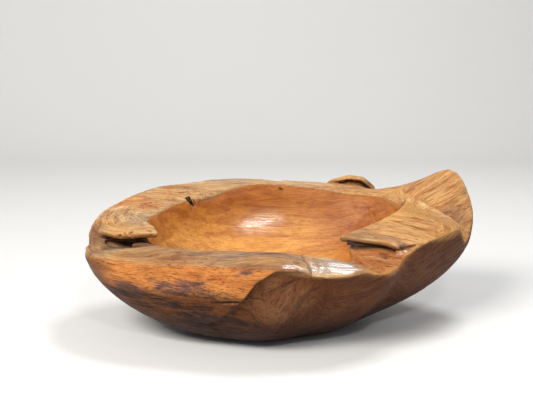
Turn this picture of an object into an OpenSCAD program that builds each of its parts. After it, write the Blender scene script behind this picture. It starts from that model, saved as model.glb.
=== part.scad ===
// Carved root-wood bowl: one hollowed block of root with a natural edge,
// and the pockets of dead bark that the root has grown around.
// Millimetres, +Z up, origin at the centre of the flat sanded foot.
// +X points to the upswept wing, -Y to the low front of the rim.

/* [Overall size] */
// Length from the left tip to the edge of the wing
bowl_length = 401; // [320:1:480]
// Width from the front belly to the knob at the back
bowl_width = 278; // [230:1:340]
// Height of the wing tip above the foot
bowl_height = 151; // [120:1:180]

/* [Foot] */
// Half length of the flat foot
foot_half_length = 66; // [50:1:80]
// Half width of the flat foot
foot_half_width = 46; // [36:1:54]

/* [Hollow] */
// Wood left under the middle of the hollow
floor_thickness = 24; // [16:1:34]
// Fullness of the hollow's section: 2 is an ellipse, more is squarer
hollow_power = 2.2; // [1.8:0.1:2.8]

/* [Bark] */
// Gap between a bark pocket and the bark in it
bark_gap = 0.3; // [0.1:0.1:0.6]

/* [Mesh] */
// Points around the bowl
around = 132; // [96:12:168]
// Rings from the foot up to the rim
side_rings = 11; // [8:1:16]
// Rings across the top of the rim
rim_rings = 4; // [3:1:6]
// Rings down the hollow
hollow_rings = 11; // [8:1:16]

/* [Hidden] */

// The sizes at which the rows below are drawn.
drawn_length = 401;
drawn_width = 278;
drawn_height = 151;
stretch = [
    bowl_length / drawn_length,
    bowl_width / drawn_width,
    bowl_height / drawn_height
];

wood_colour = [0.72, 0.44, 0.21];
bark_colour = [0.16, 0.11, 0.08];

// The rim, row by row around the bowl, angle 0 at +X and 90 at +Y:
// [angle, edge radius, edge height, opening radius, opening height, section power].
// The edge is the outer one, and the opening is the mouth of the hollow.
// The section power shapes the side below the edge: 1 is a cone, 2 an ellipse.
RIM = [
    [4, 202, 82, 108, 101, 1.5],
    [11, 218, 109, 128, 107, 1.5],
    [17, 218, 139, 144, 113, 1.45],
    [22, 213, 151, 155, 118, 1.45],
    [32, 197, 133, 145, 119, 1.5],
    [39, 184, 123, 137, 118, 1.5],
    [47, 176, 118, 127, 119, 1.6],
    [62, 154, 124, 113, 124, 1.7],
    [81, 137, 127, 104, 126, 1.7],
    [100, 137, 129, 101, 128, 1.7],
    [117, 142, 131, 104, 123, 1.7],
    [132, 151, 129, 110, 117, 1.7],
    [146, 162, 127, 117, 114, 1.7],
    [162, 178, 116, 127, 106, 1.7],
    [174, 187, 104, 132, 100, 1.65],
    [181, 187, 90, 127, 94, 1.7],
    [187, 188, 81, 121, 91, 1.75],
    [196, 181, 84, 118, 92, 1.8],
    [207, 165, 87, 117, 95, 1.9],
    [219, 147, 89, 114, 98, 2],
    [238, 125, 90, 98, 99, 2.1],
    [258, 119, 89, 90, 99, 2],
    [276, 119, 87, 91, 98, 1.8],
    [288, 122, 81, 95, 96, 1.6],
    [298, 127, 82, 99, 93, 1.5],
    [308, 131, 81, 104, 88, 1.45],
    [316, 135, 78, 101, 85, 1.45],
    [323, 139, 77, 94, 85, 1.5],
    [330, 139, 79, 87, 86, 1.5],
    [336, 141, 86, 80, 88, 1.5],
    [342, 150, 92, 76, 94, 1.5],
    [349, 165, 97, 80, 97, 1.5],
    [357, 188, 102, 93, 99, 1.5]
];
rim_rows = len(RIM);

// Plan of the hollow low down: a plain ellipse that the opening grows out of.
deep_half_length = 118;
deep_half_width = 86;
// How the rim's inner part stands up and how far the hollow's cutter runs above it.
rim_crown = 2;
cutter_rise = 60;
cutter_flare = 1.03;
// Size of the block that keeps the bark behind its plane.
bark_block = 120;
// Gentle unevenness of the side, as the root grew.
swell = 2.2;

// Left shelf: the thin lip of the upper layer of root, over the left pocket.
LEFT_SHELF = [
    [-172, -8, 98],
    [-154, -22, 96.5],
    [-138, -28, 97.5],
    [-124, -33, 100.5],
    [-108, -40, 99.5],
    [-114, -14, 101],
    [-136, 26, 101],
    [-172, 20, 101]
];
left_shelf_radius = 2.8;

// Pocket under the left shelf, from its left end to its right end.
LEFT_POCKET = [
    [-164, -22, 92.5],
    [-147, -34, 92],
    [-130, -42, 94.5],
    [-114, -50, 98]
];
left_pocket_radii = [4, 5.5, 5.5, 3.5];
left_pocket_reach = [2, 34, 3];

// Hollow neck at the left tip, between the upper layer and the lobe below it.
NECK = [
    [-191, -4, 103],
    [-193, -8, 90]
];
neck_radii = [11, 11];

// Right shelf: the broad flap, from its lip over the right pocket to its ridge by the wing.
RIGHT_SHELF = [
    [68, -25, 96.5],
    [90, -38, 95.5],
    [108, -46, 95],
    [121, -52, 91.5],
    [150, -37, 94.5],
    [182, -9, 99],
    [189, -1, 101],
    [172, 32, 112],
    [146, 56, 118.5],
    [104, 0, 97]
];
right_shelf_radius = 2;

// Pocket under the right shelf, from the hollow outwards.
RIGHT_POCKET = [
    [62, -30, 91],
    [84, -46, 90.5],
    [104, -54, 89.5],
    [116, -57, 87.5]
];
right_pocket_radii = [3.6, 3.4, 2.6, 1.6];
right_pocket_reach = [6, 22, 2];

// Shallow spoon in front of the right shelf.
spoon_centre = [84, -62, 99];
spoon_radii = [40, 24, 14];

// Knob of root that curls over behind the rim, and the gap under the curl.
CURL = [
    [63, 140, 117],
    [72, 145, 123],
    [90, 148, 127],
    [106, 147, 125],
    [116, 143, 117],
    [118, 137, 108]
];
curl_radii = [4.5, 4.5, 4, 4, 4, 4];
curl_back = [0, 7, -10];
knob_root = [92, 118, 84];
knob_root_radius = 24;
CURL_GAP = [
    [74, 138, 121.5],
    [90, 138, 124],
    [104, 137, 122],
    [113, 135, 114]
];
curl_gap_radii = [1.5, 2, 2.6, 3];
curl_gap_reach = [0, 8, 0];

// Slit in the inner edge of the rim where a small branch died.
RIM_SLIT = [
    [-88, 73, 117],
    [-84, 74, 107]
];
rim_slit_radii = [3.6, 1.4];
rim_slit_reach = [-4, 6, 0];

// ---- Curves ----

// Row number i, counted round and round, with its angle carried on.
function row(i) = let (
        turn = floor(i / rim_rows),
        r = RIM[i - turn * rim_rows]
    ) concat([r[0] + 360 * turn], [for (c = [1 : 5]) r[c]]);

// The row at or before an angle.
function row_before(angle, i = rim_rows - 1) =
    i < 0 || RIM[i][0] <= angle ? i : row_before(angle, i - 1);

// Slope of a column at row i, from its two neighbours.
function slope(i, column) =
    (row(i + 1)[column] - row(i - 1)[column]) / (row(i + 1)[0] - row(i - 1)[0]);

// A column of the rim at any angle, on a smooth curve through the rows.
function rim(angle, column) = let (
        i = row_before(angle),
        a = row(i),
        b = row(i + 1),
        span = b[0] - a[0],
        t = (angle - a[0]) / span,
        t2 = t * t,
        t3 = t2 * t
    ) (2 * t3 - 3 * t2 + 1) * a[column] + (t3 - 2 * t2 + t) * span * slope(i, column)
        + (3 * t2 - 2 * t3) * b[column] + (t3 - t2) * span * slope(i + 1, column);

function mix(a, b, t) = a + (b - a) * t;
function ellipse_radius(angle, a, b) = 1 / norm([cos(angle) / a, sin(angle) / b]);
function polar(radius, angle, height) =
    [radius * cos(angle), radius * sin(angle), height];

// Unevenness of the side: none at the foot or at the edge.
function uneven(angle, up) =
    swell * sin(180 * up) * (sin(3 * angle + 40) + 0.6 * sin(7 * angle + 130 * up));

// A point on the side, with up from 0 at the foot to 1 at the edge.
function side_point(angle, up) = let (
        foot = ellipse_radius(angle, foot_half_length, foot_half_width),
        power = 2 / rim(angle, 5),
        out = pow(sin(90 * up), power),
        rise = 1 - pow(cos(90 * up), power)
    ) polar(
        mix(foot, rim(angle, 1), out) + uneven(angle, up),
        angle,
        rim(angle, 2) * rise
    );

// A point on the rim's top, with inward from 0 at the edge to 1 at the opening and on.
function rim_point(angle, inward) = polar(
    mix(rim(angle, 1), rim(angle, 3), inward),
    angle,
    mix(rim(angle, 2), rim(angle, 4), inward) + rim_crown * sin(180 * min(inward, 1))
);

// A point on the hollow, with up from 0 at the floor to 1 at the opening.
function hollow_point(angle, up) = let (
        deep = ellipse_radius(angle, deep_half_length, deep_half_width),
        out = pow(sin(90 * up), 2 / hollow_power),
        rise = 1 - pow(cos(90 * up), 2 / hollow_power)
    ) polar(
        mix(deep, rim(angle, 3), up * up) * out,
        angle,
        mix(floor_thickness, rim(angle, 4), rise)
    );

// ---- Meshes and chains ----

// A closed solid over rings of points, with a point at each end.
module ring_solid(bottom, rings, top) {
    count = len(rings[0]);
    last = len(rings) - 1;
    points = concat([bottom], [for (r = rings) each r], [top]);
    top_index = len(points) - 1;
    function at(r, k) = 1 + r * count + k % count;
    faces = concat(
        [for (k = [0 : count - 1]) [0, at(0, k), at(0, k + 1)]],
        [for (r = [0 : last - 1], k = [0 : count - 1]) each [
            [at(r, k), at(r + 1, k), at(r + 1, k + 1)],
            [at(r, k), at(r + 1, k + 1), at(r, k + 1)]
        ]],
        [for (k = [0 : count - 1]) [top_index, at(last, k + 1), at(last, k)]]
    );
    polyhedron(points = points, faces = faces, convexity = 8);
}

function angles() = [for (k = [0 : around - 1]) 360 * k / around];

// Balls joined one to the next, each reaching back by the same vector.
module chain(path, radii, reach = [0, 0, 0], grow = 0, fn = 14) {
    for (i = [0 : len(path) - 2]) {
        hull() {
            for (j = [i, i + 1], end = [0, 1]) {
                translate(path[j] + end * reach)
                    sphere(r = radii[j] * mix(1, 0.7, end) + grow, $fn = fn);
            }
        }
    }
}

// ---- The body and what is cut from it ----

module outer_block() {
    ring_solid(
        [0, 0, 0],
        concat(
            [for (s = [0 : side_rings]) [for (a = angles()) side_point(a, s / side_rings)]],
            [for (s = [1 : rim_rings + 1]) [for (a = angles()) rim_point(a, s / rim_rings)]]
        ),
        [0, 0, drawn_height / 2]
    );
}

module hollow() {
    ring_solid(
        [0, 0, floor_thickness],
        concat(
            [for (s = [1 : hollow_rings]) [for (a = angles()) hollow_point(a, s / hollow_rings)]],
            [[for (a = angles())
                polar(rim(a, 3) * cutter_flare, a, rim(a, 4) + cutter_rise)]]
        ),
        [0, 0, drawn_height + cutter_rise]
    );
}

// A thin layer of root with a round edge, stretched over its corner points.
module shelf(corners, radius) {
    hull() {
        for (p = corners) {
            translate(p)
                sphere(r = radius, $fn = 20);
        }
    }
}

module knob() {
    hull() {
        for (i = [0 : len(CURL) - 1], back = [0, 1]) {
            translate(CURL[i] + back * curl_back)
                sphere(r = curl_radii[i], $fn = 20);
        }
        translate(knob_root)
            sphere(r = knob_root_radius, $fn = 28);
    }
}

// Each pocket is cut in full by grow 0, and its bark is the same shape, a little smaller.
module left_pocket(grow = 0) {
    chain(LEFT_POCKET, left_pocket_radii, left_pocket_reach, grow);
}

module right_pocket(grow = 0) {
    chain(RIGHT_POCKET, right_pocket_radii, right_pocket_reach, grow);
}

module rim_slit(grow = 0) {
    chain(RIM_SLIT, rim_slit_radii, rim_slit_reach, grow);
}

module spoon() {
    translate(spoon_centre)
        scale(spoon_radii)
            sphere(r = 1, $fn = 40);
}

module bowl_body() {
    color(wood_colour)
        scale(stretch)
            difference() {
                union() {
                    difference() {
                        outer_block();
                        spoon();
                    }
                    shelf(LEFT_SHELF, left_shelf_radius);
                    shelf(RIGHT_SHELF, right_shelf_radius);
                    knob();
                }
                hollow();
                chain(NECK, neck_radii);
                chain(CURL_GAP, curl_gap_radii, curl_gap_reach);
                left_pocket();
                right_pocket();
                rim_slit();
            }
}

// Bark fills a pocket only behind a plane, so the mouth of the pocket stays open,
// and it ends where the hollow begins.
module bark_behind(plane_point, turn) {
    color(bark_colour)
        scale(stretch)
            difference() {
                intersection() {
                    children();
                    translate(plane_point)
                        rotate([0, 0, turn])
                            translate([-bark_block / 2, 0, -bark_block / 2])
                                cube(bark_block);
                }
                hollow();
            }
}

module left_bark() {
    bark_behind([-142, -14, 90], -20)
        left_pocket(-bark_gap);
}

module right_bark() {
    bark_behind([92, -36, 86], -18)
        right_pocket(-bark_gap);
}

module rim_bark() {
    bark_behind([-89, 76, 112], 60)
        rim_slit(-bark_gap);
}

bowl_body();
left_bark();
right_bark();
rim_bark();
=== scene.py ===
"""The looks of a carved root-wood bowl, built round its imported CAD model.

The CAD block of wood becomes a distance field, where its edges are worn round, the
mouth of its left pocket is cut and the thin lips are added. The field becomes a fine
mesh, the grain is cut into that, and its vertices carry the masks that the wood's
material reads.

Places and lengths on the bowl are in millimetres of the bowl as it was drawn. UNIT turns
them into Blender's metres, so they follow the CAD model when its size changes. The sizes
of the materials' patterns are plain millimetres, and the stage is in metres.
"""

import math

import bpy
import numpy as np
import openvdb
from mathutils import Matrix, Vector


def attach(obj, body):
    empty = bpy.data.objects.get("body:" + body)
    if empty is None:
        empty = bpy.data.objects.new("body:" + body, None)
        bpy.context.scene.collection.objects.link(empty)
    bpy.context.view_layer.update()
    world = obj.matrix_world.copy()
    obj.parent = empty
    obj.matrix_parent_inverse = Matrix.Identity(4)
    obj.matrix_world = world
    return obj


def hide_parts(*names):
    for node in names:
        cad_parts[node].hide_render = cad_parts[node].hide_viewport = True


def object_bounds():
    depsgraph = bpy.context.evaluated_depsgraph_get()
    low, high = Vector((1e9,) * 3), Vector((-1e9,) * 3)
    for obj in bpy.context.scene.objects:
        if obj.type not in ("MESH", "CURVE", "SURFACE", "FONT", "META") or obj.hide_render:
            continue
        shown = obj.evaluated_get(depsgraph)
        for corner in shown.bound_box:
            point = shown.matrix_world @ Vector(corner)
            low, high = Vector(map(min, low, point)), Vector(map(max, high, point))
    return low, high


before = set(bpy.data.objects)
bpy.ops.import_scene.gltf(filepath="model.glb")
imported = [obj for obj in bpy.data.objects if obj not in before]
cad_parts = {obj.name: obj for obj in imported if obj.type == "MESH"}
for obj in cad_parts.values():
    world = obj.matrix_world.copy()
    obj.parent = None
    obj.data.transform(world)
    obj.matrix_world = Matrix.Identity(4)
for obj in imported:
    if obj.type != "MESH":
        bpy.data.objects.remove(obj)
CAD_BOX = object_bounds()

MM = 0.001

# The CAD model's size in mm when the places below were drawn on it, and metres per drawn mm.
DRAWN_SIZE = (401.294, 277.521, 151.045)
LOW, HIGH = (np.asarray(corner, dtype=np.float32) for corner in CAD_BOX)
UNIT = (HIGH - LOW) / np.asarray(DRAWN_SIZE, dtype=np.float32)

# Steps of the distance fields, and how many of them the distances reach from the surface.
WOOD_VOXEL = 1.0
BARK_VOXEL = 0.6
BAND = 10

FACE_LIMIT = 190000

# ---------------------------------------------------------------- small maths


def smoothstep(low, high, value):
    """0 below low, 1 above high, and smooth between. low may be the greater."""
    t = np.clip((value - low) / (high - low), 0, 1)
    return t * t * (3 - 2 * t)


def mix(a, b, t):
    """a where t is 0, b where it is 1."""
    return a + (b - a) * t


def lattice(seed):
    """A small block of random numbers that repeats, for noise()."""
    return np.random.default_rng(seed).random((32, 32, 32), dtype=np.float32)


def noise(points, size, seed):
    """Smooth random values from -1 to 1 at points. size is the lump's length along each axis."""
    block = lattice(seed)
    p = points / np.asarray(size, dtype=np.float32)
    cell = np.floor(p).astype(np.int64)
    f = (p - cell).astype(np.float32)
    f = f * f * (3 - 2 * f)
    total = np.zeros(len(points), dtype=np.float32)
    for corner in np.ndindex(2, 2, 2):
        index = (cell + corner) & 31
        weight = np.ones(len(points), dtype=np.float32)
        for axis in range(3):
            weight *= f[:, axis] if corner[axis] else 1 - f[:, axis]
        total += weight * block[index[:, 0], index[:, 1], index[:, 2]]
    return total * 2 - 1


def layered_noise(points, size, seed, layers=3):
    """noise() with finer and fainter copies of itself."""
    total = np.zeros(len(points), dtype=np.float32)
    for layer in range(layers):
        total += noise(points, np.asarray(size) / 2**layer, seed + layer) / 2**layer
    return total / (2 - 2 ** (1 - layers))


def drifts(points, amounts, size, seed):
    """Smooth random moves of up to amounts mm along the three axes."""
    moves = [amount * noise(points, size, seed + axis) for axis, amount in enumerate(amounts)]
    return np.stack(moves, axis=1)


def nearest_on_path(points, path):
    """The nearest place to each point on a line of straight stretches, and how far along it, 0 to 1."""
    path = np.asarray(path, dtype=np.float32)
    lengths = np.linalg.norm(np.diff(path, axis=0), axis=1)
    best = np.full(len(points), np.inf, dtype=np.float32)
    nearest = np.zeros_like(points)
    along = np.zeros(len(points), dtype=np.float32)
    done = 0
    for start, end, length in zip(path[:-1], path[1:], lengths):
        line = end - start
        t = np.clip((points - start) @ line / length**2, 0, 1)
        place = start + t[:, None] * line
        distance = np.linalg.norm(points - place, axis=1)
        nearer = distance < best
        best = np.where(nearer, distance, best)
        nearest = np.where(nearer[:, None], place, nearest)
        along = np.where(nearer, (done + t * length) / lengths.sum(), along)
        done += length
    return nearest, along


def plan_distance(points, outline):
    """Signed distance in plan from each point to a closed outline, negative inside it."""
    outline = np.asarray(outline, dtype=np.float32)
    x, y = points[:, 0], points[:, 1]
    inside = np.zeros(len(points), dtype=bool)
    best = np.full(len(points), np.inf, dtype=np.float32)
    for (ax, ay), (bx, by) in zip(outline, np.roll(outline, -1, axis=0)):
        dx, dy = bx - ax, by - ay
        t = np.clip(((x - ax) * dx + (y - ay) * dy) / (dx**2 + dy**2), 0, 1)
        best = np.minimum(best, np.hypot(x - ax - t * dx, y - ay - t * dy))
        if dy != 0:
            crosses = (ay > y) != (by > y)
            inside ^= crosses & (x < dx * (y - ay) / dy + ax)
    return np.where(inside, -best, best)


# ---------------------------------------------------------------- meshes

WELD_DISTANCE = 0.01


def read_points(mesh):
    """A mesh's vertices in drawn mm."""
    points = np.empty(len(mesh.vertices) * 3, dtype=np.float32)
    mesh.vertices.foreach_get("co", points)
    return points.reshape(-1, 3) / UNIT


def read_normals(mesh):
    """The way that each vertex faces."""
    normals = np.empty(len(mesh.vertices) * 3, dtype=np.float32)
    mesh.vertices.foreach_get("normal", normals)
    return normals.reshape(-1, 3)


def write_points(mesh, points):
    """Moves a mesh's vertices to places in drawn mm."""
    mesh.vertices.foreach_set("co", (points * UNIT).astype(np.float32).ravel())
    mesh.update()


def store(mesh, name, kind, values):
    """Writes one value for each vertex, for a material to read."""
    field = {"FLOAT": "value", "FLOAT_VECTOR": "vector", "FLOAT_COLOR": "color"}[kind]
    layer = mesh.attributes.new(name, kind, "POINT")
    layer.data.foreach_set(field, np.ascontiguousarray(values, dtype=np.float32).ravel())


def add_object(name, mesh):
    """A smooth-shaded object in the scene."""
    mesh.polygons.foreach_set("use_smooth", [True] * len(mesh.polygons))
    obj = bpy.data.objects.new(name, mesh)
    bpy.context.scene.collection.objects.link(obj)
    return obj


def modified_mesh(obj):
    """A new mesh with an object's modifiers applied."""
    return bpy.data.meshes.new_from_object(obj.evaluated_get(bpy.context.evaluated_depsgraph_get()))


def rounded_copy(obj, rounding):
    """An object's mesh with its facets rounded off by subdivision."""
    copy = add_object("rounded", obj.data.copy())
    copy.modifiers.new("weld", "WELD").merge_threshold = WELD_DISTANCE * MM
    copy.modifiers.new("round", "SUBSURF").levels = rounding
    mesh = modified_mesh(copy)
    bpy.data.objects.remove(copy)
    return mesh


def reduce_faces(obj, limit):
    """Merges faces where the surface is flattest until the object has at most limit triangles."""
    triangles = sum(len(p.vertices) - 2 for p in obj.data.polygons)
    if triangles <= limit:
        return
    modifier = obj.modifiers.new("reduce", "DECIMATE")
    modifier.ratio = limit / triangles
    modifier.use_collapse_triangulate = True
    reduced = modified_mesh(obj)
    obj.modifiers.clear()
    obj.data = reduced


# ---------------------------------------------------------------- distance field


TUBE_LUMPS = (6, 6, 4)


class Field:
    """Distance to a solid's surface in mm on a regular grid, negative in the solid."""

    def __init__(self, obj, voxel, rounding=0):
        mesh = rounded_copy(obj, rounding)
        mesh.calc_loop_triangles()
        points = read_points(mesh)
        triangles = np.empty(len(mesh.loop_triangles) * 3, dtype=np.int32)
        mesh.loop_triangles.foreach_get("vertices", triangles)
        triangles = triangles.reshape(-1, 3).astype(np.uint32)
        self.voxel = voxel
        self.first = np.floor(points.min(axis=0) / voxel).astype(int) - BAND
        self.shape = np.ceil(points.max(axis=0) / voxel).astype(int) + BAND - self.first
        grid = openvdb.FloatGrid.createLevelSetFromPolygons(
            points, triangles, transform=openvdb.createLinearTransform(voxel), halfWidth=BAND
        )
        self.d = np.zeros(self.shape, dtype=np.float32)
        grid.copyToArray(self.d, ijk=tuple(int(i) for i in self.first))

    def blurred(self, sigma):
        """The field averaged over sigma mm each way."""
        sigma = sigma / self.voxel
        reach = int(math.ceil(2.5 * sigma))
        weights = [math.exp(-((i / sigma) ** 2) / 2) for i in range(-reach, reach + 1)]
        d = self.d
        for axis in range(3):
            padded = np.pad(d, [(reach, reach) if a == axis else (0, 0) for a in range(3)], mode="edge")
            d = np.zeros_like(self.d)
            for i, weight in enumerate(weights):
                window = [slice(None)] * 3
                window[axis] = slice(i, i + self.d.shape[axis])
                d += weight / sum(weights) * padded[tuple(window)]
        return d

    def near(self, low, high):
        """The part of the grid between two corners: its slices and its points."""
        a = np.clip(np.floor(np.asarray(low) / self.voxel).astype(int) - self.first, 0, self.shape)
        b = np.clip(np.ceil(np.asarray(high) / self.voxel).astype(int) - self.first, 0, self.shape)
        window = tuple(slice(i, j) for i, j in zip(a, b))
        axes = [(np.arange(i, j) + f) * self.voxel for i, j, f in zip(a, b, self.first)]
        points = np.stack(np.meshgrid(*axes, indexing="ij"), axis=-1).astype(np.float32)
        return window, points

    def change(self, low, high, distance, blend, cut):
        """Adds a shape, or cuts it away, with a fillet of about blend mm."""
        window, points = self.near(low, high)
        tool = distance(points.reshape(-1, 3)).reshape(points.shape[:3])
        here = -self.d[window] if cut else self.d[window]
        t = np.clip(0.5 + 0.5 * (tool - here) / blend, 0, 1)
        joined = mix(tool, here, t) - blend * t * (1 - t)
        self.d[window] = -joined if cut else joined

    def tube(self, path, radii, blend, cut=False, rough=0.0, seed=0):
        """A tube along a path, with a radius at each of its points and up to rough mm of lumps."""
        path = np.asarray(path, dtype=np.float32)
        reach = max(radii) + 3 * (blend + 1) + rough
        places = np.linspace(0, 1, len(path))
        steps = np.linalg.norm(np.diff(path, axis=0), axis=1)
        places[1:] = np.cumsum(steps) / steps.sum()

        def distance(points):
            nearest, along = nearest_on_path(points, path)
            away = np.linalg.norm(points - nearest, axis=1)
            radius = np.interp(along, places, radii)
            if rough:
                radius = radius + rough * layered_noise(points, TUBE_LUMPS, seed)
            return (away - radius).astype(np.float32)

        self.change(path.min(axis=0) - reach, path.max(axis=0) + reach, distance, blend, cut)

    def sample(self, values, points):
        """The nearest of the grid's values at each point."""
        index = np.rint(points / self.voxel).astype(int) - self.first
        i, j, k = np.clip(index, 0, self.shape - 1).T
        return values[i, j, k]

    def mesh(self, name):
        """The field's surface as a Blender mesh of quads, in metres."""
        grid = openvdb.FloatGrid(float(BAND * self.voxel))
        grid.copyFromArray(self.d, ijk=(0, 0, 0))
        points, quads = grid.convertToQuads(0.0)
        points = (points + self.first) * self.voxel * UNIT
        mesh = bpy.data.meshes.new(name)
        mesh.from_pydata(points.tolist(), [], quads.tolist())
        mesh.update()
        return mesh


# ---------------------------------------------------------------- the wood

# Subdivisions that round the CAD's facets. Then the blur in mm that wears the edges, and
# the one that smooths what is left of the facets where the surface bends little: the second
# is used where the two differ by less than the first of SMOOTH_WHERE, and not past the last.
ROUNDING = 2
EDGE_WEAR = 1.1
SIDE_SMOOTH = 5.0
SMOOTH_WHERE = (0.5, 1.3)

# The blur that shows how worn each edge is and how deep each recess lies, where painted shade darkens the
# wood, and the gap kept to the CAD box.
EDGE_FIND = 3.0
BOX_MARGIN = 0.1

# The grain runs along X between two ends, and bends round the bowl past them. The left
# end is further out on top of the rim than on the side, which ends at RIM_EDGE.
GRAIN_MIDDLE_Y = 20
GRAIN_END_LEFT = -80
GRAIN_END_LEFT_TOP = -135
GRAIN_END_RIGHT = 60
GRAIN_BEND_RADIUS = 110
RIM_EDGE = (84, 98)

# The mouth of the hollow in plan, anticlockwise from the inner corner of the flap.
OPENING = [
    (76, -20), (98, -2), (120, 22), (138, 52), (112, 82), (84, 92), (52, 98), (16, 102),
    (-18, 100), (-48, 90), (-76, 76), (-97, 65), (-121, 39), (-132, 12), (-122, -12),
    (-113, -34), (-104, -52), (-87, -73), (-53, -84), (-20, -88), (9, -90), (40, -85),
    (64, -80), (76, -67), (77, -46),
]

# The shares of its reach between which a turn of the grain comes in.
TURN_FADE = (1.35, 0.85)

# Where the grain leaves the run of the rim: [region, place, reach, its own direction].
GRAIN_TURNS = [
    ("rim", (118, -18, 102), 58, (0.90, -0.42, -0.12)),  # the flap
    ("rim", (182, 54, 130), 44, (0.80, 0.40, 0.42)),  # the wing
    ("rim", (92, 140, 120), 24, (0.95, -0.10, 0.25)),  # the curl
    ("side", (22, -106, 50), 34, (0.55, 0.10, 0.80)),  # the strand below the front lap
    ("side", (100, -92, 60), 50, (0.86, 0.36, 0.34)),  # under the terrace
    ("side", (165, -25, 85), 50, (0.62, 0.62, 0.45)),  # under the flap
]

# The thin lips of the two shelves, each a path and its radii. The web fills the left
# shelf between its lip and the hollow.
LEFT_LIP = [
    (-166, -10, 97), (-154, -20, 96.5), (-138, -27, 97.5), (-124, -32, 100), (-114, -32, 100),
    (-120, -12, 101), (-130, 8, 102), (-137, 24, 104),
]
LEFT_LIP_RADII = [3.0, 2.7, 2.5, 2.2, 1.8, 3.2, 3.4, 2.0]
LEFT_WEB = [(-138, -12, 99.5), (-122, -20, 100.5)]
LEFT_WEB_RADII = [3.0, 3.2]
RIGHT_LIP = [(70, -23, 94.5), (76, -27, 95), (90, -37, 95.5), (108, -45, 95), (120, -50, 93)]
RIGHT_LIP_RADII = [3.4, 2.6, 1.9, 1.7, 2.4]

# The open end of the left pocket, cut deeper than its bark: its floor and its mouth.
LEFT_FLOOR = [(-164, -10, 88), (-150, -17, 86.5), (-139, -22, 87)]
LEFT_FLOOR_RADII = [3.5, 7.0, 5.5]
LEFT_MOUTH = [(-166, -14, 90), (-154, -25, 88), (-140, -33, 88), (-126, -40, 91), (-113, -46, 94)]
LEFT_MOUTH_RADII = [3.2, 5.4, 5.4, 4.4, 2.8]

# The distances from a lip's path between which its own wood gives way to the hollow's.
LIP_EDGE = (3.5, 6)

# How much a surface faces up where the outer side ends, and where the rim's top begins.
RIM_SLOPE = (0.15, 0.6)

# Small bites out of the ragged lip of the left shelf: [place, radius]. Each is a short tube.
BITE_HALF = (1, 1, 0)
BITE_ROUGH = 0.6
LIP_BITES = [
    ((-160, -21, 94), 2.0), ((-151, -27, 97), 2.4), ((-146, -27, 100), 1.6), ((-141, -30, 95), 2.2),
    ((-139, -28, 101), 2.2),
]

# Marks that run along the grain: [path, width, depth].
GROOVES = [
    # The front rim.
    ([(-125, -87, 88), (-98, -99, 90), (-61, -104, 92)], 1.7, 1.5),
    ([(-93, -84, 96), (-76, -89, 97), (-57, -91, 98)], 1.6, 1.3),
    ([(-98, -94, 92), (-80, -97, 94), (-61, -96, 96)], 1.5, 1.2),
    ([(-39, -93, 98), (-25, -96, 98), (-10, -95, 98)], 1.5, 0.9),
    ([(-52, -107, 91), (-29, -108, 93), (-3, -108, 94)], 2.2, 1.1),
    # The flap, and the crease behind the crest between it and the wing.
    ([(126, 14, 110), (141, 10, 109), (155, 3, 107), (166, -2, 105)], 1.7, 2.2),
    ([(120, 6, 108), (131, 2, 107), (144, -1, 107), (153, -1, 106)], 1.7, 2.0),
    ([(120, 1, 107), (133, -7, 105), (147, -15, 103), (160, -21, 101)], 2.0, 2.8),
    ([(145, 20, 112), (160, 14, 110), (173, 10, 108)], 1.8, 1.4),
    ([(84, -27, 99), (100, -37, 98), (114, -44, 97), (124, -47, 96)], 1.6, 1.5),
    ([(170, 2, 105), (176, -5, 104), (178, -16, 103)], 2.0, 2.2),
    ([(168, -4, 105), (165, -16, 103), (162, -24, 100)], 1.8, 1.3),
    ([(148, 62, 119), (154, 52, 119), (163, 43, 116), (172, 30, 112), (182, 18, 108)], 2.6, 2.6),
    # The back left rim.
    ([(-114, 85, 125), (-100, 85, 124), (-90, 80, 121)], 3.0, 1.4),
    ([(-163, 60, 118), (-142, 63, 118), (-121, 69, 119)], 2.2, 2.0),
    # The terrace.
    ([(76, -50, 89), (92, -54, 87), (106, -58, 85)], 2.0, 2.0),
    ([(80, -60, 87), (98, -66, 85), (114, -71, 82)], 2.0, 1.8),
    ([(92, -48, 87), (104, -52, 86), (116, -56, 85)], 1.8, 2.0),
    # The right wall of the hollow.
    ([(107, 79, 103), (111, 74, 99), (113, 67, 94), (112, 60, 88)], 1.6, 0.9),
    ([(100, 84, 110), (105, 80, 104), (106, 73, 97)], 1.5, 0.7),
    # The layers in the left pocket.
    ([(-137, -14, 91), (-127, -23, 92), (-116, -36, 93)], 0.9, 1.5),
    ([(-138, -22, 90), (-128, -31, 91), (-117, -42, 92)], 0.9, 1.5),
    # The seam in the curl.
    ([(62, 142, 116), (74, 141, 120), (92, 140, 122), (106, 140, 119)], 1.8, 1.0),
]

# Crests that stand up along the grain: [path, width, height].
CRESTS = [
    (
        [(140, 62, 118), (147, 50, 119), (156, 41, 117), (166, 28, 113), (175, 15, 110), (187, 5, 106)],
        3.4, 3.0,
    ),
    ([(84, -55, 88), (100, -60, 86), (116, -64, 84)], 2.2, 1.4),
    ([(-170, 36, 116), (-146, 46, 116), (-126, 60, 118)], 3.5, 2.2),
    ([(-112, 92, 126), (-92, 88, 124), (-72, 86, 121)], 3.5, 1.8),
    ([(-114, 8, 103), (-118, 22, 105), (-116, 36, 108)], 4.0, 0.8),
]

# Drying cracks: [path, width, depth].
CRACKS = [
    ([(-56, -105, 53), (-43, -109, 55), (-34, -112, 56), (-22, -114, 57), (-8, -114, 57)], 0.9, 3.2),
    ([(-76, -95, 47), (-66, -98, 47), (-52, -103, 48)], 1.1, 1.4),
    ([(-116, -81, 51), (-106, -86, 52), (-97, -91, 51)], 1.1, 1.2),
    ([(-128, -66, 41), (-115, -75, 41), (-104, -83, 43)], 1.2, 1.2),
    ([(-39, -104, 40), (-32, -109, 46), (-27, -111, 50)], 1.1, 1.0),
    ([(9, 100, 126), (13, 99, 121), (12, 99, 117)], 1.0, 1.4),
]

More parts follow.
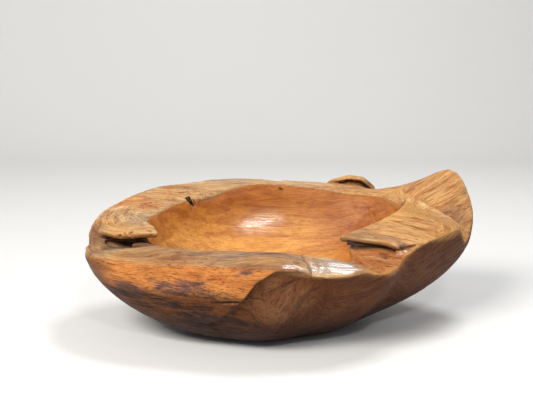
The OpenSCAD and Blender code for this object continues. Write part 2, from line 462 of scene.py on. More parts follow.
# Small hollows, dead knots and worm holes: [place, radius, depth].
PITS = [
    ((-88, -92, 46), 2.0, 1.8), ((-86, -90, 43), 2.4, 1.8), ((-146, -75, 79), 2.6, 1.0),
    ((-164, -61, 81), 4.0, 1.0), ((-70, -106, 87), 2.0, 0.9), ((127, -50, 93), 6.0, 3.2),
    ((107, -58, 84), 4.5, 2.6), ((-139, -70, 52), 4.0, 0.8), ((-180, -4, 90), 4.0, 1.5),
    ((196, 36, 107), 5.0, 0.8), ((206, 56, 127), 4.0, 0.8),
]

# Where one strand of root laps over the next: [edge path, the way to the upper strand, step, reach].
FRONT_LAP = [
    (-62, -88, 26), (-44, -101, 40), (-26, -113, 58), (-14, -117, 75), (3, -118, 86), (22, -116, 87),
    (37, -115, 81),
]
FRONT_LAP_UP = (-0.6, 0, 0.8)
STRANDS = [
    (FRONT_LAP, FRONT_LAP_UP, 5.5, 18),
    ([(-10, -114, 62), (8, -117, 71), (22, -117, 79), (36, -113, 80)], (-0.5, 0, 0.85), 1.6, 8),
    ([(0, -88, 22), (15, -101, 40), (24, -109, 58), (37, -113, 72)], (-0.8, 0, 0.6), 3.2, 20),
    ([(36, -118, 78), (32, -106, 89), (26, -98, 95)], (-1, 0, 0), 2.6, 10),
    ([(-118, 95, 127), (-98, 88, 124), (-82, 78, 118)], (0.5, 0.85, 0), 1.6, 10),
    ([(4, 104, 127), (10, 118, 129), (14, 134, 127)], (1, 0, 0), 3.0, 12),
]

# A worn flat on the front of the rim: its middle, the way that it faces and its reach.
FACET_PLACE = (56, -104, 86)
FACET_FACES = (0.13, -0.48, 0.87)
FACET_REACH = (32, 14, 10)
FACET_DEEPEST = 3

# How far a path may lie above or below the surface that it marks, and how much a groove and
# the edge of a strand wander beside their paths.
PATH_DEPTH = 6
MARK_WANDER = 0.6
STRAND_WANDER = 1.2

# The share of a strand's step that is cut from the lower side, and half the width of the step.
STEP_CUT = 0.85
STEP_HALF = 1.6

# How rough the grain is on the rim and on the side, and how much rougher in two patches of
# the rim, each a place and radii.
RIM_GRAIN = 0.55
SIDE_GRAIN = 0.3
FLAP_GRAIN = 0.3
TERRACE_GRAIN = 0.8
FLAP = ((140, 0, 105), (60, 46, 20))
TERRACE = ((100, -60, 85), (28, 18, 10))

# How far the surface stands out, in mm: grain, lumps, and the waves and tool marks in the hollow.
RIDGE_HEIGHT = 0.55
FIBRE_HEIGHT = 0.28
RIM_LUMPS = 0.9
SIDE_LUMPS = 0.5
HOLLOW_WAVES = 0.25
HOLLOW_MARKS = 0.10

# The band over the foot in which all of that fades out, so that the foot stays flat.
FOOT_FADE = (0.5, 6)

# Dark water stains on the front: [place, radii].
STAINS = [
    ((-128, -72, 56), (34, 40, 12)),
    ((-84, -98, 66), (46, 30, 11)),
    ((-100, -86, 47), (40, 30, 10)),
    ((-46, -108, 62), (26, 20, 7)),
    ((-22, -116, 85), (14, 10, 2.5)),
    ((-60, -90, 34), (60, 40, 12)),
    ((-150, -40, 40), (30, 30, 18)),
]

# Weathered grey wood on the rim: [place, radii].
GREYS = [
    ((-76, -91, 97), (26, 10, 7)),  # the front rim, from the left
    ((-34, -97, 97), (34, 12, 6)),  # the front rim
    ((20, -98, 95), (48, 14, 8)),  # the front rim
    ((-134, 22, 102), (26, 24, 10)),  # the left shelf
    ((-100, 84, 124), (26, 9, 8)),  # the slit
    ((-50, 118, 128), (44, 14, 8)),  # the back rim
    ((108, -36, 97), (34, 14, 8)),  # the flap's lip
    ((60, -100, 88), (26, 12, 8)),  # the worn flat
    ((206, 50, 127), (8, 12, 10)),  # the wing's edge
    ((-150, -52, 90), (26, 12, 7)),  # the left end of the front rim
]

# Clear golden wood: [place, radii].
GOLDS = [
    ((-146, -70, 88), (24, 14, 5)),  # the left end of the front rim
    ((-165, 8, 103), (22, 14, 8)),  # the left end
    ((-140, -20, 103), (30, 10, 8)),  # the left shelf's lip
    ((146, 40, 116), (40, 16, 10)),  # the crest between the flap and the wing
    ((130, 16, 110), (26, 26, 10)),  # the flap
    ((110, -80, 80), (30, 12, 6)),  # under the terrace
    ((160, -20, 101), (34, 16, 8)),  # the flap's outer edge
    ((0, -108, 93), (30, 6, 4)),  # the front rim's edge
    ((-110, 76, 121), (24, 8, 10)),  # beside the slit
]

# Where hands have polished the wood: [place, radii].
POLISHED = [
    ((-16, 88, 86), (46, 30, 26)),  # the hollow's back wall
    ((56, -104, 86), (34, 14, 8)),  # the worn flat
    ((19, -114, 89), (13, 6, 4)),  # the front lap
    ((122, -51, 92), (10, 10, 8)),  # the terrace's corner
]

# Colours of the clean wood, in linear light. Some are painted light and shade, as said at each.
TONES = {
    "hollow": (0.67, 0.32, 0.072),
    # Darker wood near the rim of the hollow, with painted shade.
    "hollow_top_tone_and_shade": (0.41, 0.133, 0.014),
    "rim": (0.53, 0.340, 0.170),
    "right_rim": (0.54, 0.295, 0.112),
    "front_rim": (0.34, 0.185, 0.088),
    # A lit copy of the outer side's wood: painted light from the window.
    "lit_side": (0.54, 0.205, 0.050),
    # The outer side, darkened with painted shade.
    "side": (0.118, 0.037, 0.007),
    # Painted shade of the underside.
    "foot": (0.036, 0.012, 0.005),
    "gold": (0.58, 0.31, 0.092),
    # A painted highlight along the crests.
    "crest": (0.66, 0.44, 0.22),
}

# How much of its colour a golden place gets, and a place with a tone of its own.
GOLD_SHARE = 0.7
TONE_SHARE = 0.85

# Wood whose tone differs from that round it: [tone, place, radii]. Some of these tones are painted shade
# or a painted reflection, as said at each.
TONE_PLACES = [
    ((0.36, 0.20, 0.088), (-110, -80, 94), (60, 22, 10)),  # the front rim, left
    ((0.34, 0.20, 0.105), (-20, -100, 98), (70, 16, 9)),  # the front rim, middle
    ((0.38, 0.115, 0.022), (90, -62, 83), (46, 30, 12)),  # the terrace
    # Painted shade below the crease of the front lap:
    ((0.19, 0.085, 0.036), (8, -108, 54), (26, 20, 26)),  # the strand below the front lap
    # Painted shade, near black, in the mouth of the left pocket and on its floor under the lip:
    ((0.026, 0.012, 0.008), (-143, -32, 88), (28, 18, 5)),  # the mouth of the left pocket
    ((0.026, 0.012, 0.008), (-147, -16, 88), (22, 14, 4.5)),  # that pocket's floor
    ((0.170, 0.088, 0.050), (-124, -30, 91), (14, 22, 6)),  # layers at its right
    # Painted shade under the flap's lip, over its dark bark at the left end:
    ((0.050, 0.026, 0.018), (80, -32, 92), (28, 14, 4.5)),  # under the flap's lip
    # A painted reflection: the worn flat is greyed towards the silver of its sheen:
    ((0.33, 0.24, 0.165), (58, -104, 86), (30, 12, 8)),  # the worn flat
    ((0.52, 0.22, 0.062), (-152, 56, 117), (36, 14, 10)),  # the back left rim
    ((0.52, 0.25, 0.075), (-96, 88, 125), (26, 9, 8)),  # the fold by the slit
    ((0.30, 0.115, 0.035), (96, 136, 121), (28, 9, 5)),  # inside the curl
    # Painted shade, near black, in the hole at the curl's right:
    ((0.03, 0.015, 0.010), (113, 139, 121), (8, 8, 5)),  # the hole at the curl's right
    ((0.32, 0.185, 0.095), (84, -26, 100), (16, 14, 8)),  # the flap's tip
    ((0.23, 0.115, 0.060), (-182, 4, 90), (14, 22, 16)),  # the notch at the left end
    # Painted shade on the far left end of the side:
    ((0.17, 0.068, 0.024), (-178, -46, 68), (26, 34, 22)),  # the side below it
    ((0.32, 0.165, 0.080), (196, 30, 108), (14, 20, 12)),  # the wing's lower edge
]


def run_of_rim(points):
    """Coordinates along the rim, across it and up, bent round both ends of the bowl."""
    x, y, z = points.T
    left = mix(GRAIN_END_LEFT, GRAIN_END_LEFT_TOP, smoothstep(*RIM_EDGE, z))
    middle = np.clip(x, left, GRAIN_END_RIGHT)
    along, across = x - middle, y - GRAIN_MIDDLE_Y
    bend = np.sign(along) * GRAIN_BEND_RADIUS * np.arctan2(np.abs(along), np.abs(across))
    return np.stack([middle + bend, GRAIN_MIDDLE_Y - np.hypot(along, across), z], axis=1)


def grain_coordinates(points, normals):
    """Coordinates in which the grain runs along X everywhere."""
    hollow, rim, side = regions(points, normals)
    turned = mix(run_of_rim(points), points, hollow[:, None])
    for region, place, reach, direction in GRAIN_TURNS:
        pivot = run_of_rim(np.array([place], dtype=np.float32))
        along = np.asarray(direction) / np.linalg.norm(direction)
        across = np.cross((0, 0, 1), along)
        across /= np.linalg.norm(across)
        axes = np.stack([along, across, np.cross(along, across)], axis=1)
        away = np.linalg.norm(points - np.asarray(place), axis=1)
        fade = smoothstep(TURN_FADE[0] * reach, TURN_FADE[1] * reach, away)
        weight = fade * (rim if region == "rim" else side)
        turned = mix(turned, pivot + (points - np.asarray(place)) @ axes, weight[:, None])
    return (turned + drifts(points, (3, 3, 3), 50, 61)).astype(np.float32)


def carve_field(field):
    """Wears the edges round and cuts what is too deep or undercut for a moved vertex."""
    fine = field.blurred(EDGE_WEAR)
    broad = field.blurred(SIDE_SMOOTH)
    field.d = mix(broad, fine, smoothstep(*SMOOTH_WHERE, np.abs(broad - fine)))
    field.tube(LEFT_MOUTH, LEFT_MOUTH_RADII, 1.5, cut=True, rough=0.8, seed=5)
    field.tube(LEFT_FLOOR, LEFT_FLOOR_RADII, 1.5, cut=True)
    field.tube(LEFT_LIP, LEFT_LIP_RADII, 3.0, rough=0.7, seed=6)
    field.tube(LEFT_WEB, LEFT_WEB_RADII, 3.0)
    field.tube(RIGHT_LIP, RIGHT_LIP_RADII, 3.0, rough=0.3, seed=7)
    for seed, (place, radius) in enumerate(LIP_BITES):
        ends = [np.subtract(place, BITE_HALF), np.add(place, BITE_HALF)]
        field.tube(ends, [radius, radius], BITE_ROUGH, cut=True, rough=BITE_ROUGH, seed=seed)


def regions(points, normals):
    """How much each point belongs to the hollow, to the rim's top and to the outer side."""
    z = points[:, 2]
    up = normals[:, 2]
    plan = plan_distance(points, OPENING)
    bottom = smoothstep(-5, -10, plan) * smoothstep(92, 82, z)
    wall = smoothstep(6, 3, plan) * smoothstep(0.80, 0.62, up) * smoothstep(40, 60, z)
    hollow = np.maximum(bottom, wall) * smoothstep(-0.35, 0.1, up)
    for lip in (LEFT_LIP, RIGHT_LIP):
        nearest, _ = nearest_on_path(points, lip)
        hollow *= smoothstep(*LIP_EDGE, np.linalg.norm(points - nearest, axis=1))
    rim = smoothstep(*RIM_SLOPE, up) * (1 - hollow)
    return hollow, rim, 1 - hollow - rim


def blob(points, place, radii):
    """1 in the middle of a soft ellipsoid, and 0 well outside it."""
    away = np.linalg.norm((points - np.asarray(place)) / np.asarray(radii), axis=1)
    return smoothstep(1.5, 0.4, away)


def blobs(points, shapes):
    """1 in the middle of any of the soft ellipsoids, each a place and radii."""
    total = np.zeros(len(points), dtype=np.float32)
    for place, radii in shapes:
        total = np.maximum(total, blob(points, place, radii))
    return total


def near_path(points, path, reach):
    """The indices of the points within reach of a path's own box."""
    path = np.asarray(path)
    inside = np.all((points > path.min(axis=0) - reach) & (points < path.max(axis=0) + reach), axis=1)
    return np.flatnonzero(inside)


def across_path(points, normals, path, wander):
    """The way along the surface from a path to each point, and how far along the path that is.

    The path may lie up to PATH_DEPTH above or below the surface. wander makes it uneven.
    """
    points = points + wander * noise(points, 6 + 6 * wander, 17)[:, None]
    nearest, along = nearest_on_path(points, path)
    offset = points - nearest
    depth = np.clip(np.sum(offset * normals, axis=1), -PATH_DEPTH, PATH_DEPTH)
    return offset - depth[:, None] * normals, along


def line_marks(points, normals, marks):
    """Depth of each point under grooves, or height on crests, that fade out at both ends."""
    depth = np.zeros(len(points), dtype=np.float32)
    for path, width, deepest in marks:
        part = near_path(points, path, 4 * width + PATH_DEPTH)
        offset, along = across_path(points[part], normals[part], path, MARK_WANDER)
        away = np.linalg.norm(offset, axis=1)
        fade = np.sqrt(np.sin(np.pi * np.clip(along, 0.02, 0.98)))
        depth[part] = np.maximum(depth[part], deepest * fade * np.exp(-((away / width) ** 2)))
    return depth


def pit_marks(points):
    """Depth of each point in the small, uneven hollows."""
    depth = np.zeros(len(points), dtype=np.float32)
    for place, radius, deepest in PITS:
        part = near_path(points, [place], 3 * radius)
        away = np.linalg.norm(points[part] - np.asarray(place), axis=1)
        away *= 1 + 0.35 * noise(points[part], 4, 23)
        depth[part] += deepest * np.exp(-((away / radius) ** 2))
    return depth


def side_of(points, normals, path, arrow):
    """Distance to a path, positive on the side that the arrow points to, and how far along it."""
    offset, along = across_path(points, normals, path, STRAND_WANDER)
    sign = np.sign(offset @ np.asarray(arrow, dtype=np.float32))
    return sign * np.linalg.norm(offset, axis=1), along


def strand_steps(points, normals):
    """Height of the strands of root over the wood beside them."""
    height = np.zeros(len(points), dtype=np.float32)
    for path, arrow, step, reach in STRANDS:
        part = near_path(points, path, 2 * reach)
        side, along = side_of(points[part], normals[part], path, arrow)
        fade = np.sqrt(np.sin(np.pi * np.clip(along, 0, 0.999)))
        near = smoothstep(2 * reach, 0.3 * reach, np.abs(side))
        height[part] += step * fade * near * (smoothstep(-STEP_HALF, STEP_HALF, side) - STEP_CUT)
    return height


def facet_height(points):
    """Moves the surface to the plane of the worn flat."""
    place, faces = np.asarray(FACET_PLACE), np.asarray(FACET_FACES)
    above = (points - place) @ (faces / np.linalg.norm(faces))
    return np.clip(-above, -FACET_DEEPEST, FACET_DEEPEST) * blob(points, place, FACET_REACH)


def surface_height(points, normals, grain):
    """How far each point stands out from the smooth block, in mm."""
    hollow, rim, side = regions(points, normals)
    ridges = 1 - 2 * np.abs(layered_noise(grain, (70, 6.5, 6.5), 5, 2))
    fibres = noise(grain, (34, 2.4, 2.4), 9)
    lumps = layered_noise(points, 34, 3, 2)
    rim_grain = RIM_GRAIN + FLAP_GRAIN * blob(points, *FLAP) + TERRACE_GRAIN * blob(points, *TERRACE)
    rough = rim * rim_grain + SIDE_GRAIN * side
    height = rough * (RIDGE_HEIGHT * ridges + FIBRE_HEIGHT * fibres)
    height += (RIM_LUMPS * rim + SIDE_LUMPS * side) * lumps
    height += hollow * (HOLLOW_WAVES * noise(points, 26, 13) + HOLLOW_MARKS * noise(points, 9, 14))
    height += facet_height(points) + strand_steps(points, normals) + line_marks(points, normals, CRESTS)
    height -= line_marks(points, normals, GROOVES + CRACKS) + pit_marks(points)
    return height * smoothstep(*FOOT_FADE, points[:, 2])


def region_tones(points, hollow, rim, side, lapped):
    """The clean wood's colour at each point, with painted light and shade built in. lapped is 1 on the
    strand above the front lap.
    """

    def blend(low, high, amount):
        return mix(np.asarray(TONES[low]), np.asarray(TONES[high]), amount[:, None])

    x, y, z = points.T
    # The hollow darkens towards its rim and its right: darker wood there, and painted shade.
    inner = blend("hollow", "hollow_top_tone_and_shade", np.clip(smoothstep(70, 118, z) + smoothstep(20, 110, x), 0, 1))
    top = blend("rim", "right_rim", smoothstep(40, 90, x))
    front = smoothstep(-55, -95, y) * smoothstep(60, 10, x)
    top = mix(top, np.asarray(TONES["front_rim"]), front[:, None])
    # The outer side is dark with painted shade, and the upper strand of the front lap gets a lit copy of
    # its wood: painted light.
    outer = blend("side", "lit_side", smoothstep(52, 70, z) * lapped * smoothstep(-20, -60, y))
    # Darker towards the bottom: painted shade on the underside.
    outer = mix(outer, np.asarray(TONES["foot"]), smoothstep(46, 12, z)[:, None])
    tone = hollow[:, None] * inner + rim[:, None] * top + side[:, None] * outer
    dry = (1 - hollow)[:, None]
    tone = mix(tone, np.asarray(TONES["gold"]), GOLD_SHARE * dry * blobs(points, GOLDS)[:, None])
    for colour, place, radii in TONE_PLACES:
        tone = mix(tone, np.asarray(colour), TONE_SHARE * dry * blob(points, place, radii)[:, None])
    return tone


def wood_masks(mesh, worn):
    """Gives every vertex the grain, tone and masks that the material reads. worn gives its edge wear and
    the depth of its recesses, where painted shade goes.
    """
    points, normals = read_points(mesh), read_normals(mesh)
    hollow, rim, side = regions(points, normals)
    grain = grain_coordinates(points, normals)
    drift = points + drifts(points, (7, 7, 4), (40, 16, 16), 41)

    lapped = smoothstep(-1.5, 1.5, side_of(points, normals, FRONT_LAP, FRONT_LAP_UP)[0])
    tone = region_tones(drift, hollow, rim, side, lapped)
    # Lighter along the crests: a painted highlight on their raised edges.
    crest = np.clip(line_marks(points, normals, CRESTS) / 3, 0, 0.7)
    tone = mix(tone, np.asarray(TONES["crest"]), crest[:, None])
    # How dark the cracks, grooves and pits are painted: shade in them, and the dark of dead knots.
    marks = line_marks(points, normals, CRACKS) / 1.2 + line_marks(points, normals, GROOVES) / 5
    marks += pit_marks(points) / 4

    store(mesh, "grain", "FLOAT_VECTOR", grain * MM)
    store(mesh, "tone", "FLOAT_COLOR", np.concatenate([tone, np.ones((len(tone), 1))], axis=1))
    store(mesh, "hollow", "FLOAT", hollow)
    store(mesh, "stain", "FLOAT", blobs(drift, STAINS) * (1 - hollow))
    store(mesh, "grey", "FLOAT", blobs(drift, GREYS) * (1 - hollow))
    store(mesh, "polish", "FLOAT", np.maximum(0.45 * hollow, blobs(points, POLISHED)))
    store(mesh, "mark", "FLOAT", np.clip(marks, 0, 1))
    store(mesh, "edge", "FLOAT", worn(points))


def shape_surface(mesh):
    """Cuts the grain and the marks into a smooth mesh of the wood, within the CAD box."""
    points, normals = read_points(mesh), read_normals(mesh)
    points += normals * surface_height(points, normals, grain_coordinates(points, normals))[:, None]
    margin = np.array([BOX_MARGIN, BOX_MARGIN, 0])
    write_points(mesh, np.clip(points, LOW / UNIT + margin, HIGH / UNIT - BOX_MARGIN))


def build_wood():
    """The block of root wood, with its material."""
    field = Field(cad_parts["bowl_body"], WOOD_VOXEL, ROUNDING)
    carve_field(field)
    mesh = field.mesh("bowl_wood")
    shape_surface(mesh)
    obj = add_object("bowl_wood", mesh)
    reduce_faces(obj, FACE_LIMIT)
    # Positive on worn edges, and negative in recesses, where the material paints shade.
    bend = field.blurred(EDGE_FIND) - field.d
    wood_masks(obj.data, lambda places: field.sample(bend, places))
    obj.data.materials.append(wood_material())
    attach(obj, "root")
    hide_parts("bowl_body")


# ---------------------------------------------------------------- materials


class Graph:
    """A short way to write a material's nodes."""

    def __init__(self, name):
        self.material = bpy.data.materials.new(name)
        self.material.use_nodes = True
        self.tree = self.material.node_tree
        self.shader = self.tree.nodes["Principled BSDF"]

    def feed(self, socket, value):
        """Links a socket to another, or gives it a constant."""
        if isinstance(value, bpy.types.NodeSocket):
            self.tree.links.new(value, socket)
        elif value is not None:
            socket.default_value = value

    def attribute(self, name, output="Fac"):
        """One of the values that every vertex carries."""
        node = self.tree.nodes.new("ShaderNodeAttribute")
        node.attribute_name = name
        return node.outputs[output]

    def position(self):
        """The place on the object, in metres."""
        return self.tree.nodes.new("ShaderNodeTexCoord").outputs["Object"]

    def stretched(self, vector, size):
        """A vector divided by a size in mm along each axis."""
        node = self.tree.nodes.new("ShaderNodeVectorMath")
        node.operation = "MULTIPLY"
        self.feed(node.inputs[0], vector)
        node.inputs[1].default_value = [1 / (s * MM) for s in size]
        return node.outputs[0]

    def noise(self, vector, detail, roughness, distortion=0.0):
        """Smooth random values about 0.5, with finer copies of themselves."""
        node = self.tree.nodes.new("ShaderNodeTexNoise")
        self.feed(node.inputs["Vector"], vector)
        node.inputs["Scale"].default_value = 1.0
        node.inputs["Detail"].default_value = detail
        node.inputs["Roughness"].default_value = roughness
        node.inputs["Distortion"].default_value = distortion
        return node.outputs["Fac"]

    def math(self, operation, a, b=None, clamp=False):
        """One operation on one or two values."""
        node = self.tree.nodes.new("ShaderNodeMath")
        node.operation = operation
        node.use_clamp = clamp
        self.feed(node.inputs[0], a)
        self.feed(node.inputs[1], b)
        return node.outputs[0]

    def ramp(self, value, low, high, bottom=0.0, top=1.0):
        """A smooth rise from bottom to top as value goes from low to high."""
        node = self.tree.nodes.new("ShaderNodeMapRange")
        node.interpolation_type = "SMOOTHSTEP"
        self.feed(node.inputs["Value"], value)
        node.inputs["From Min"].default_value = low
        node.inputs["From Max"].default_value = high
        node.inputs["To Min"].default_value = bottom
        node.inputs["To Max"].default_value = top
        return node.outputs["Result"]

    def mix(self, amount, a, b, blend="MIX"):
        """Colour a where amount is 0, and b, or the blend of both, where it is 1."""
        node = self.tree.nodes.new("ShaderNodeMix")
        node.data_type = "RGBA"
        node.blend_type = blend
        self.feed(node.inputs[0], amount)
        self.feed(node.inputs[6], (*a, 1) if isinstance(a, tuple) else a)
        self.feed(node.inputs[7], (*b, 1) if isinstance(b, tuple) else b)
        return node.outputs[2]

    def shade(self, colour, amount, tint):
        """A colour multiplied by a tint, as far as amount says."""
        return self.mix(amount, colour, tint, "MULTIPLY")

    def bump(self, height, distance):
        """A normal for a height from 0 to 1 that stands for distance in metres."""
        node = self.tree.nodes.new("ShaderNodeBump")
        node.inputs["Strength"].default_value = 1.0
        node.inputs["Distance"].default_value = distance
        self.feed(node.inputs["Height"], height)
        return node.outputs["Normal"]


WOOD_IOR = 1.45
WOOD_BUMP = 0.0007
BARK_BUMP = 0.0012
BARK_ROUGHNESS = 0.85

# The roughness and the gloss of dry wood and of polished wood.
ROUGHNESS = (0.56, 0.22)
GLOSS = (0.22, 0.6)

# How much of the rim's streaks the hollow shows, and of its bump the polished wood.
HOLLOW_STREAKS = 0.45
POLISHED_BUMP = 0.10

GREY_TINT = (0.78, 0.90, 1.22)
STAIN_TINT = (0.34, 0.50, 1.8)
WORN_EDGE = (0.66, 0.38, 0.14)
# The colour of the painted shade in recesses.
RECESS_SHADE = (0.10, 0.045, 0.025)
# The dark of cracks, grooves and pits: painted shade in them, and dead knots.
DEAD_KNOTS_AND_SHADE = (0.035, 0.018, 0.012)


def wood_material():
    """Polished root wood: streaky grain, growth lines, stains, grey weathering and worn edges, with
    painted shade in recesses, cracks, grooves and pits.
    """
    g = Graph("root_wood")
    grain = g.attribute("grain", "Vector")
    hollow = g.attribute("hollow")
    edge = g.attribute("edge")
    mark = g.attribute("mark")

    figure = g.noise(g.stretched(grain, (80, 10, 10)), 4, 0.55, 0.8)
    streaks = g.noise(g.stretched(grain, (40, 2.2, 2.2)), 4, 0.62)
    fibres = g.noise(g.stretched(grain, (14, 0.6, 0.6)), 2, 0.6)
    flecks = g.noise(g.stretched(grain, (8, 1.0, 1.0)), 1, 0.5)
    threads = g.noise(g.stretched(grain, (60, 1.3, 1.3)), 2, 0.5)
    mottle = g.noise(g.stretched(g.position(), (16, 16, 16)), 4, 0.6)
    lines = g.math("SINE", g.math("MULTIPLY", g.noise(g.stretched(grain, (130, 26, 26)), 1.5, 0.4), 130.0))
    polish = g.attribute("polish")
    dry = g.ramp(hollow, 0, 1, 1.0, HOLLOW_STREAKS)

    # Each layer of the grain tints the wood where its pattern goes from one value to another,
    # by the share that comes next. Some are fainter in the hollow.
    colour = g.attribute("tone", "Color")
    for pattern, low, high, share, tint in (
        (figure, 0.46, 0.64, 0.60, (0.66, 0.44, 0.32)),
        (figure, 0.50, 0.36, 0.45, (1.25, 1.28, 1.15)),
    ):
        colour = g.shade(colour, g.ramp(pattern, low, high, 0, share), tint)
    for pattern, low, high, share, tint in (
        (streaks, 0.50, 0.66, 0.60, (0.60, 0.42, 0.29)),
        (streaks, 0.47, 0.34, 0.50, (1.28, 1.28, 1.20)),
        (threads, 0.60, 0.68, 0.75, (0.30, 0.17, 0.10)),
        (flecks, 0.60, 0.70, 0.60, (0.40, 0.27, 0.20)),
    ):
        colour = g.shade(colour, g.math("MULTIPLY", dry, g.ramp(pattern, low, high, 0, share)), tint)
    for pattern, low, high, share, tint in (
        (fibres, 0.48, 0.66, 0.45, (0.62, 0.48, 0.38)),
        (lines, 0.45, 1.0, 0.20, (0.62, 0.42, 0.32)),
        (mottle, 0.48, 0.68, 0.35, (0.80, 0.60, 0.48)),
    ):
        colour = g.shade(colour, g.ramp(pattern, low, high, 0, share), tint)

    # The outlines of the grey and stained patches are torn along the grain.
    torn = g.math("ADD", g.ramp(streaks, 0.36, 0.64, 0, 0.6), g.ramp(figure, 0.38, 0.62, 0, 0.6))
    grey = g.ramp(g.math("ADD", g.attribute("grey"), torn), 1.1, 1.75, 0, 0.85)
    colour = g.shade(colour, grey, GREY_TINT)
    stain = g.ramp(g.math("ADD", g.attribute("stain"), torn), 1.05, 1.75, 0, 0.9)
    colour = g.shade(colour, stain, STAIN_TINT)
    # Worn edges are lighter.
    colour = g.mix(g.ramp(edge, 0.5, 1.6, 0, 0.30), colour, WORN_EDGE)
    # Painted shade darkens the recesses.
    colour = g.mix(g.ramp(edge, -0.4, -1.6, 0, 0.5), colour, RECESS_SHADE)
    # Cracks, grooves and pits are darkened: painted shade in them, and the dark of dead knots.
    colour = g.mix(g.ramp(mark, 0.15, 0.8, 0, 0.9), colour, DEAD_KNOTS_AND_SHADE)

    rough = g.ramp(polish, 0, 1, *ROUGHNESS)
    rough = g.math("ADD", rough, g.ramp(streaks, 0.38, 0.62, -0.07, 0.10))
    rough = g.math("ADD", rough, g.math("MULTIPLY", grey, 0.06), clamp=True)

    relief = g.math("ADD", streaks, g.math("MULTIPLY", fibres, 0.5))
    relief = g.math("MULTIPLY", relief, g.ramp(polish, 0, 1, 1.0, POLISHED_BUMP))
    g.feed(g.shader.inputs["Base Color"], colour)
    g.feed(g.shader.inputs["Roughness"], rough)
    g.feed(g.shader.inputs["Specular IOR Level"], g.ramp(polish, 0, 1, *GLOSS))
    g.feed(g.shader.inputs["Normal"], g.bump(relief, WOOD_BUMP))
    g.shader.inputs["IOR"].default_value = WOOD_IOR
    return g.material


def bark_material():
    """Dead bark: dark, flaky layers that are grey where they have weathered."""
    g = Graph("dead_bark")
    position = g.position()
    layers = g.noise(g.stretched(position, (24, 14, 1.6)), 4, 0.65, 0.4)
    crumbs = g.noise(g.stretched(position, (2.2, 2.2, 1.2)), 3, 0.6)
    colour = g.mix(g.ramp(layers, 0.35, 0.65), (0.018, 0.010, 0.008), (0.12, 0.075, 0.05))
    colour = g.mix(g.ramp(layers, 0.60, 0.75, 0, 0.7), colour, (0.26, 0.19, 0.14))
    colour = g.mix(g.ramp(crumbs, 0.45, 0.7, 0, 0.5), colour, (0.035, 0.022, 0.018))
    g.feed(g.shader.inputs["Base Color"], colour)
    relief = g.math("ADD", layers, g.math("MULTIPLY", crumbs, 0.4))
    g.shader.inputs["Roughness"].default_value = BARK_ROUGHNESS
    g.feed(g.shader.inputs["Normal"], g.bump(relief, BARK_BUMP))
    return g.material


# ---------------------------------------------------------------- bark

# How far the bark lies below its CAD surface, and how deep its layers and crumbs go, in mm.
BARK_SINK = 0.25
LAYER_DEPTH = 0.55
CRUMB_DEPTH = 0.25


def build_bark(name, node, seed, material):
    """Bark that fills one pocket, broken into flaky layers."""
    mesh = Field(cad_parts[node], BARK_VOXEL).mesh(name)
    points, normals = read_points(mesh), read_normals(mesh)
    layers = 1 - 2 * np.abs(layered_noise(points, (22, 12, 2.2), seed, 2))
    crumbs = noise(points, (3, 3, 1.5), seed + 7)
    depth = BARK_SINK + LAYER_DEPTH * (1 - layers) + CRUMB_DEPTH * (1 + crumbs)
    write_points(mesh, points - normals * depth[:, None])
    obj = add_object(name, mesh)
    mesh.materials.append(material)
    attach(obj, "root")
    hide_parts(node)


# ---------------------------------------------------------------- stage

CAMERA_LENS = 60.8
CAMERA_PLACE = (-0.00567, -0.88935, 0.29382)
CAMERA_TILT = 79.5

# The floor, in metres: half its width, its front edge, where it starts to bend up, the
# radius of the bend and the height of the wall.
FLOOR_HALF_WIDTH = 3.0
FLOOR_FRONT = -2.5
FLOOR_BACK = 1.2
FLOOR_BEND = 0.35
BEND_STEPS = 12
WALL_HEIGHT = 3.0
PAPER = (0.77, 0.77, 0.76)
PAPER_ROUGHNESS = 0.9

SKY = (0.97, 0.98, 1)
SKY_STRENGTH = 0.30


def paper_material():
    """Plain, pale, matt paper."""
    material = bpy.data.materials.new("studio_paper")
    material.use_nodes = True
    shader = material.node_tree.nodes["Principled BSDF"]
    shader.inputs["Base Color"].default_value = (*PAPER, 1)
    shader.inputs["Roughness"].default_value = PAPER_ROUGHNESS
    return material


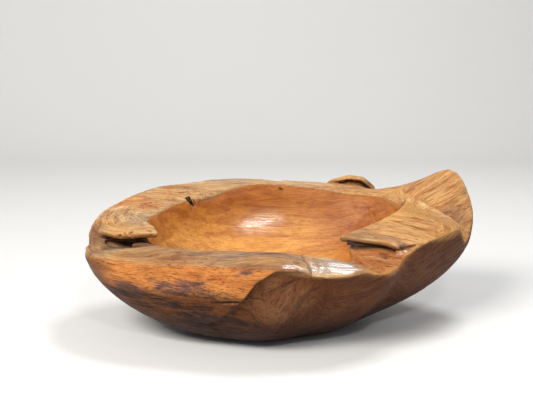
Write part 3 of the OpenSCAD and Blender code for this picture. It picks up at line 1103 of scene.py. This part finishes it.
def floor_and_backdrop():
    """A pale floor that curves up into a pale wall."""
    profile = [(FLOOR_FRONT, 0.0)]
    for step in range(BEND_STEPS + 1):
        angle = math.radians(90 * step / BEND_STEPS)
        profile.append((FLOOR_BACK + FLOOR_BEND * math.sin(angle), FLOOR_BEND * (1 - math.cos(angle))))
    profile.append((FLOOR_BACK + FLOOR_BEND, WALL_HEIGHT))
    points = [(x, y, z) for y, z in profile for x in (-FLOOR_HALF_WIDTH, FLOOR_HALF_WIDTH)]
    faces = [(2 * i, 2 * i + 1, 2 * i + 3, 2 * i + 2) for i in range(len(profile) - 1)]
    mesh = bpy.data.meshes.new("studio_floor")
    mesh.from_pydata(points, [], faces)
    floor = add_object("studio_floor", mesh)
    mesh.materials.append(paper_material())


def add_camera():
    """The camera, a little above the rim and in front of the bowl."""
    data = bpy.data.cameras.new("camera")
    data.lens = CAMERA_LENS
    camera = bpy.data.objects.new("camera", data)
    camera.location = CAMERA_PLACE
    camera.rotation_euler = (math.radians(CAMERA_TILT), 0, 0)
    bpy.context.scene.collection.objects.link(camera)
    bpy.context.scene.camera = camera


def aim(obj, target):
    """Turns a light towards a place."""
    obj.rotation_euler = (Vector(target) - obj.location).to_track_quat("-Z", "Y").to_euler()


def area_light(name, place, target, size, watts, colour=(1, 1, 1)):
    """A rectangle of light that faces its target."""
    data = bpy.data.lights.new(name, "AREA")
    data.shape = "RECTANGLE"
    data.size, data.size_y = size
    data.energy = watts
    data.color = colour
    light = bpy.data.objects.new(name, data)
    light.location = place
    aim(light, target)
    bpy.context.scene.collection.objects.link(light)


def add_lights():
    """A soft sky, a large window at the left, and two small lamps for the highlights."""
    world = bpy.data.worlds.new("studio")
    world.use_nodes = True
    background = world.node_tree.nodes["Background"]
    background.inputs["Color"].default_value = (*SKY, 1)
    background.inputs["Strength"].default_value = SKY_STRENGTH
    bpy.context.scene.world = world
    area_light("window", (-1.0, -1.2, 1.45), (0, 0, 0.05), (0.9, 0.8), 42, (1, 0.97, 0.93))
    area_light("front", (0.27, -1.14, 1.07), (-0.02, 0.09, 0.086), (0.2, 0.13), 4)
    area_light("overhead", (0.42, 0.35, 1.45), (0.05, -0.1, 0.086), (0.45, 0.32), 10)


build_wood()
bark = bark_material()
build_bark("left_bark_layers", "left_bark", 71, bark)
build_bark("right_bark_layers", "right_bark", 72, bark)
build_bark("rim_bark_plug", "rim_bark", 73, bark)
floor_and_backdrop()
add_camera()
add_lights()
bpy.context.scene.view_settings.view_transform = "Standard"

bpy.context.view_layer.update()
